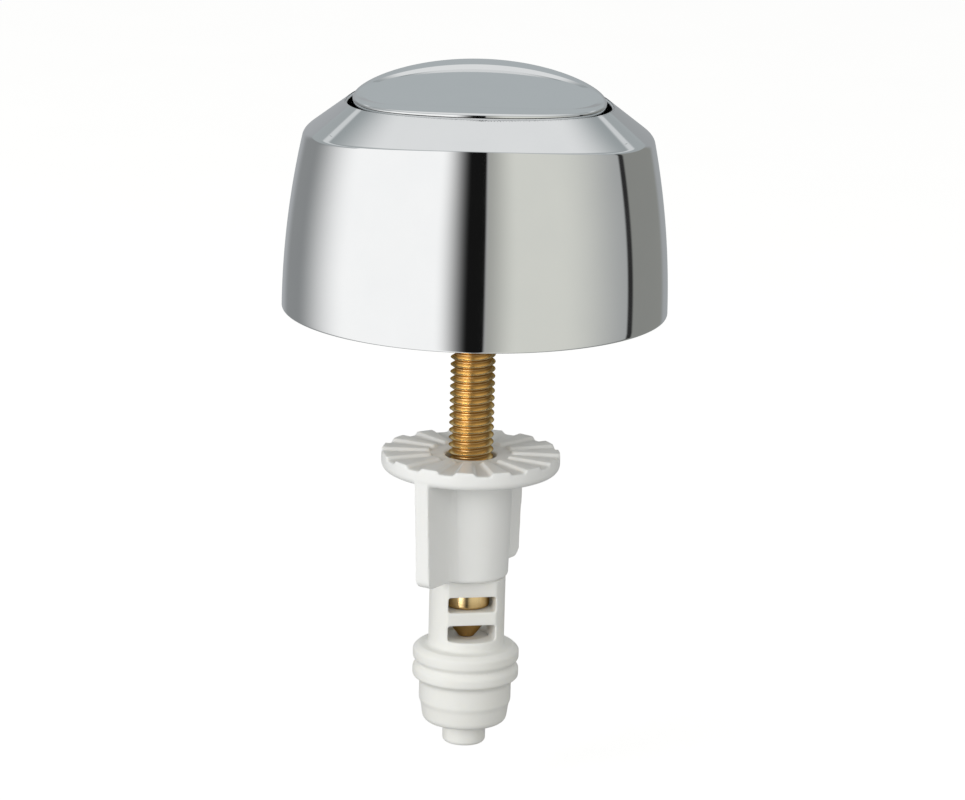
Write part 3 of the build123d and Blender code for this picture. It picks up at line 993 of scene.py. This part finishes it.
def winged_nut():
    """Moulded nut: serrated flange, barrel and two wings."""
    body = lathe([
        (STUD_HOLE, NUT_LOW, 0),
        (BARREL_RADIUS, NUT_LOW, BARREL_ROUND),
        (BARREL_RADIUS + BARREL_DRAFT, FLANGE_LOW, BARREL_FILLET),
        (FLANGE_RADIUS, FLANGE_LOW, FLANGE_ROUND),
        (FLANGE_RADIUS, FLANGE_TOP, 0),
        (NUT_MOUTH, FLANGE_TOP, 0),
        (NUT_MOUTH, FLANGE_TOP - NUT_MOUTH_DEPTH, 0),
        (STUD_HOLE, FLANGE_TOP - NUT_MOUTH_DEPTH, 0),
    ], NUT_SIDES)
    ridge = bmesh.new()
    levels = []
    for height, half_angle in (
        (FLANGE_TOP - FLANGE_THICKNESS / 2, RIDGE_ANGLE / 2 + RIDGE_DRAFT),
        (FLANGE_TOP, RIDGE_ANGLE / 2 + RIDGE_DRAFT),
        (RIDGE_TOP, RIDGE_ANGLE / 2),
    ):
        ring = []
        for radius, sign in ((RIDGE_INNER, -1), (FLANGE_RADIUS, -1), (FLANGE_RADIUS, 1), (RIDGE_INNER, 1)):
            angle = radians(half_angle) * sign
            ring.append(ridge.verts.new((radius * cos(angle) * MM, radius * sin(angle) * MM, height * MM)))
        levels.append(ring)
    ridge.faces.new(reversed(levels[0]))
    ridge.faces.new(levels[-1])
    for lower, upper in zip(levels, levels[1:]):
        for index in range(4):
            after = (index + 1) % 4
            ridge.faces.new((lower[index], lower[after], upper[after], upper[index]))
    bmesh.ops.recalc_face_normals(ridge, faces=ridge.faces)
    pattern = to_object("ridge", ridge)
    ridges = grown(ridge_rule(), {"Ridge": pattern, "Count": RIDGE_COUNT, "Start": radians(RIDGE_TURN)})
    bpy.data.objects.remove(pattern)
    wings = [turn(nut_wing(), WING_TURN + 180.0 * side) for side in (0, 1)]
    nut = moulded(joined([body, ridges, *wings]), NUT_VOXEL)
    return piece("winged_nut", nut, "white_plastic", "clamp_nut", "hand_nut")


def milky_coupling():
    """Moulded coupling: windowed tube with a clip bar, two ribs and a plug."""
    rib_bevel = (RIB_PITCH - RIB_LAND) / 2
    ribs = []
    for index in range(RIB_COUNT):
        top = RIB_TOP - index * RIB_PITCH
        ribs += [
            (RIB_VALLEY, top, RIB_ROUND),
            (RIB_RADIUS, top - rib_bevel, RIB_ROUND),
            (RIB_RADIUS, top - rib_bevel - RIB_LAND, RIB_ROUND),
        ]
    nose_radius = PLUG_RADIUS - NOSE_STEP
    body = lathe([
        (TUBE_BORE, TUBE_TOP, 0),
        (TUBE_RADIUS, TUBE_TOP, EDGE_ROUND),
        (TUBE_RADIUS, RIB_TOP, RIB_ROUND),
        *ribs,
        (PLUG_RADIUS, PLUG_TOP, PLUG_ROUND),
        (PLUG_RADIUS, NOSE_TOP, RIB_ROUND),
        (nose_radius, NOSE_TOP - NOSE_SLOPE, RIB_ROUND),
        (nose_radius - NOSE_TAPER, NOSE_LOW, NOSE_ROUND),
        (TIP_BORE, NOSE_LOW, 0),
        (TIP_BORE, BAR_LOW, 0),
        (NECK_HOLE, BAR_LOW, 0),
        (NECK_HOLE, BAR_TOP, 0),
        (TUBE_BORE, BAR_TOP, 0),
    ], COUPLING_SIDES)
    through = 4 * RIB_RADIUS
    cutters = [box(SLOT_WIDTH, through, low, low + SLOT_HEIGHT) for low in (SLOT_LOW, BAR_TOP)]
    flat_depth = 2 * (TUBE_RADIUS - PANEL_DEPTH)
    for side in (-1, 1):
        middle = side * (PANEL_DEPTH + flat_depth / 2)
        cutters.append(box(2.2 * TUBE_RADIUS, flat_depth, SLOT_LOW, TUBE_TOP + CUT_OVER, middle))
    tube = moulded(cut(body, cutters), COUPLING_VOXEL)
    return piece("milky_coupling", turn(tube, COUPLING_TURN), "natural_plastic", "plug", "coupling")


def milky_tip():
    """Moulded tip on the rod's lower end."""
    tip = lathe([
        (0, TIP_TOP - TIP_SOCKET, 0),
        (ROD_SOCKET, TIP_TOP - TIP_SOCKET, 0),
        (ROD_SOCKET, TIP_TOP, 0),
        (TIP_RADIUS, TIP_TOP, TIP_TOP_ROUND),
        (TIP_RADIUS, TIP_LOW, TIP_ROUND),
        (0, TIP_LOW, 0),
    ], TIP_SIDES)
    return piece("milky_tip", tip, "natural_plastic", "button", "push_tip")


def finish_solids():
    """Gives the solids that stay as they are the finish of their slot."""
    for part in frame["record"]["subparts"]:
        item = frame["nodes"][part["node"]]
        item.data.materials.clear()
        item.data.materials.append(FINISHES[part["material_slot"]])


# Studio

FLOOR_HEIGHT = -0.0665
FLOOR_SIZE = 6.0
TENT_RADIUS = 2.5
TENT_SIDES = 128
TENT_ROWS = 64
FLOOR_GREY = (0.5, 0.5, 0.5)
FLOOR_PALE = (0.52, 0.52, 0.52)
FLOOR_GLOW = 0.68
ROOM_TINT = (1.0, 1.0, 0.975)
ROOM_STRENGTH = 0.54
LAMP_AIM = (0, 0, -0.015)

# Lamps: name, place in metres, size in metres, power in watts and tint
ROOM_LAMPS = (
    ("key", (-0.75, -0.62, 0.22), 0.5, 4.6, (1.0, 1.0, 1.0)),
    ("fill", (0.22, -0.95, 0.3), 0.8, 2.8, (1.0, 0.995, 0.97)),
)
STUD_LAMP = ("glint", (-0.34, -0.36, 0.02), 0.36, 2.3, (1.0, 0.98, 0.93))

# Cards that the chrome mirrors: from and to azimuth, softness of both edges in degrees, and tone
TENT_BASE = (1.08, 1.08, 1.08)
TENT_CARDS = (
    (-200, -106, 1, 25, (0.27, 0.28, 0.285)),
    (-200, -154, 1, 8, (0.40, 0.415, 0.43)),
    (7.2, 105, 1.2, 1, (0.72, 0.725, 0.675)),
    (78, 105, 28, 1, (0.40, 0.41, 0.41)),
    (105, 200, 1, 1, (0.265, 0.27, 0.255)),
    (150, 200, 5, 1, (0.36, 0.375, 0.385)),
    (102.5, 107.5, 1.2, 1.2, (0.03, 0.03, 0.03)),
    (6.5, 15, 1.6, 11, (0.38, 0.383, 0.36)),
    (-13.9, 6.5, 10.2, 1.6, (0.008, 0.008, 0.008)),
)

# Tones above the cards: levels over which each takes over, azimuths either side of the front between
# which it is seen, and tone
TENT_LEVELS = (
    (13.3, 15.2, 90, 400, (0.39, 0.42, 0.43)),
    (13.3, 15.2, 159, 400, (0.435, 0.47, 0.485)),
    (22.0, 23.5, -10, 163, (0.68, 0.70, 0.71)),
    (25.5, 27.5, -10, 400, (0.35, 0.38, 0.39)),
    (27.0, 52.0, -10, 400, (0.83, 0.84, 0.845)),
)
LEVEL_SOFT = 3.0


def floor_finish():
    """Pale floor that keeps the shadow and is white to the camera."""
    material, board = new_material("pale_floor")
    camera_ray = board.node("ShaderNodeLightPath", output="Is Camera Ray")
    vector, _ = board.coordinates()
    grain = board.noise(vector, 30.0, 2.0)
    shade = board.mix(grain, colour(*FLOOR_GREY), colour(*FLOOR_PALE))
    paper = board.node("ShaderNodeBsdfDiffuse", {}, {"Color": shade})
    glow = board.node("ShaderNodeEmission", {}, {"Color": colour(1, 1, 1), "Strength": FLOOR_GLOW})
    bright = board.node("ShaderNodeAddShader", {}, {0: paper, 1: glow})
    mixed = board.node("ShaderNodeMixShader", {}, {0: camera_ray, 1: paper, 2: bright})
    board.node("ShaderNodeOutputMaterial", {}, {"Surface": mixed})
    return material


def glowing_cards(name, base, cards, levels):
    """What a mirror sees round the object: a base tone with cards set over it by azimuth, then by level."""
    material, board = new_material(name)
    _, (x, y, z) = board.coordinates()
    azimuth = x.math("ARCTAN2", x, -1.0 * y) * degrees(1)
    shade = colour(*base)
    for start, end, soft_start, soft_end, tone in cards:
        entered = board.rise(azimuth, start - soft_start, start + soft_start)
        left = board.rise(azimuth, end - soft_end, end + soft_end)
        shade = board.mix(entered * (1.0 - left), shade, colour(*tone))
    level = (z / TENT_RADIUS).math("ARCSINE", z / TENT_RADIUS) * degrees(1)
    for start, end, nearest, widest, tone in levels:
        entered = board.rise(abs(azimuth), nearest - LEVEL_SOFT, nearest + LEVEL_SOFT)
        left = board.rise(abs(azimuth), widest - LEVEL_SOFT, widest + LEVEL_SOFT)
        shade = board.mix(board.rise(level, start, end) * entered * (1.0 - left), shade, colour(*tone))
    glow = board.node("ShaderNodeEmission", {}, {"Color": shade, "Strength": 1.0})
    board.node("ShaderNodeOutputMaterial", {}, {"Surface": glow})
    return material


def mirrored_only(name, mesh, finish):
    """Piece of the studio that is seen in mirrors and nowhere else."""
    item = to_object(name, mesh)
    item.data.materials.append(finish)
    item.visible_camera = False
    item.visible_diffuse = False
    item.visible_transmission = False
    item.visible_volume_scatter = False
    item.visible_shadow = False
    return item


def studio(stud):
    """Floor, light tent, lamps, one of which lights the stud alone, and world."""
    ground = bmesh.new()
    bmesh.ops.create_grid(ground, x_segments=2, y_segments=2, size=FLOOR_SIZE / 2)
    bmesh.ops.translate(ground, verts=ground.verts, vec=(0, 0, FLOOR_HEIGHT))
    floor = to_object("floor", ground)
    floor.data.materials.append(floor_finish())
    floor.visible_glossy = False
    ball = bmesh.new()
    bmesh.ops.create_uvsphere(ball, u_segments=TENT_SIDES, v_segments=TENT_ROWS, radius=TENT_RADIUS)
    cards = glowing_cards("tent_cards", TENT_BASE, TENT_CARDS, TENT_LEVELS)
    tent = mirrored_only("light_tent", ball, cards)
    for row in ROOM_LAMPS:
        lamp(*row)
    lamp(*STUD_LAMP, only=stud)
    world = bpy.data.worlds.new("white_room")
    bpy.context.scene.world = world
    world.use_nodes = True
    world.node_tree.nodes.clear()
    board = Board(world.node_tree)
    camera_ray = board.node("ShaderNodeLightPath", output="Is Camera Ray")
    glossy_ray = board.node("ShaderNodeLightPath", output="Is Glossy Ray")
    through_ray = board.node("ShaderNodeLightPath", output="Is Transmission Ray")
    seen = camera_ray.most(glossy_ray).most(through_ray)
    room = board.node("ShaderNodeBackground", {}, {"Color": colour(*ROOM_TINT), "Strength": ROOM_STRENGTH})
    white = board.node("ShaderNodeBackground", {}, {"Color": colour(1, 1, 1), "Strength": 1.0})
    sky = board.node("ShaderNodeMixShader", {}, {0: seen, 1: room, 2: white})
    board.node("ShaderNodeOutputWorld", {}, {"Surface": sky})


def lamp(name, place, size, power, tint, only=None):
    """Soft square lamp that no mirror shows, or one that lights a single piece and glints on it."""
    light = bpy.data.lights.new(name, "AREA")
    light.size = size
    light.energy = power
    light.color = tint
    item = bpy.data.objects.new(name, light)
    item.location = place
    aim = Vector(LAMP_AIM) - Vector(place)
    item.rotation_euler = aim.to_track_quat("-Z", "Y").to_euler()
    item.visible_glossy = only is not None
    if only is not None:
        lit = bpy.data.collections.new(f"lit_by_{name}")
        lit.objects.link(only)
        item.light_linking.receiver_collection = lit
    bpy.context.scene.collection.objects.link(item)


# Camera: the photograph's, whose picture is 965 by 800 pixels
PHOTO_WIDTH = 965
PHOTO_HEIGHT = 800
FOCAL_PIXELS = 4500.0
ORIGIN_PIXEL = (474.5, 308.6)
ORIGIN_DEPTH = 0.59524
CAMERA_PITCH = 14.2
CAMERA_ROLL = 1.5
SENSOR_WIDTH = 36.0


def camera():
    """Long lens camera at the photograph's angle, with the rim's centre on its pixel."""
    pitch = radians(CAMERA_PITCH)
    roll = radians(CAMERA_ROLL)
    ahead = Vector((0, cos(pitch), -sin(pitch)))
    level_up = Vector((0, sin(pitch), cos(pitch)))
    right = cos(roll) * Vector((1, 0, 0)) + sin(roll) * level_up
    up = cos(roll) * level_up - sin(roll) * Vector((1, 0, 0))
    across = (ORIGIN_PIXEL[0] - PHOTO_WIDTH / 2) / FOCAL_PIXELS
    above = (PHOTO_HEIGHT / 2 - ORIGIN_PIXEL[1]) / FOCAL_PIXELS
    lens = bpy.data.cameras.new("camera")
    lens.sensor_fit = "HORIZONTAL"
    lens.sensor_width = SENSOR_WIDTH
    lens.lens = FOCAL_PIXELS / PHOTO_WIDTH * SENSOR_WIDTH
    item = bpy.data.objects.new("camera", lens)
    axes = Matrix((right, up, -ahead)).transposed().to_4x4()
    item.matrix_world = Matrix.Translation(-ORIGIN_DEPTH * (ahead + across * right + above * up)) @ axes
    bpy.context.scene.collection.objects.link(item)
    bpy.context.scene.camera = item


finish_solids()
chrome_dome()
chrome_button()
return_coil()
stud_piece = brass_stud()
winged_nut()
milky_coupling()
milky_tip()
studio(stud_piece)
camera()
bpy.context.scene.view_settings.view_transform = "Standard"
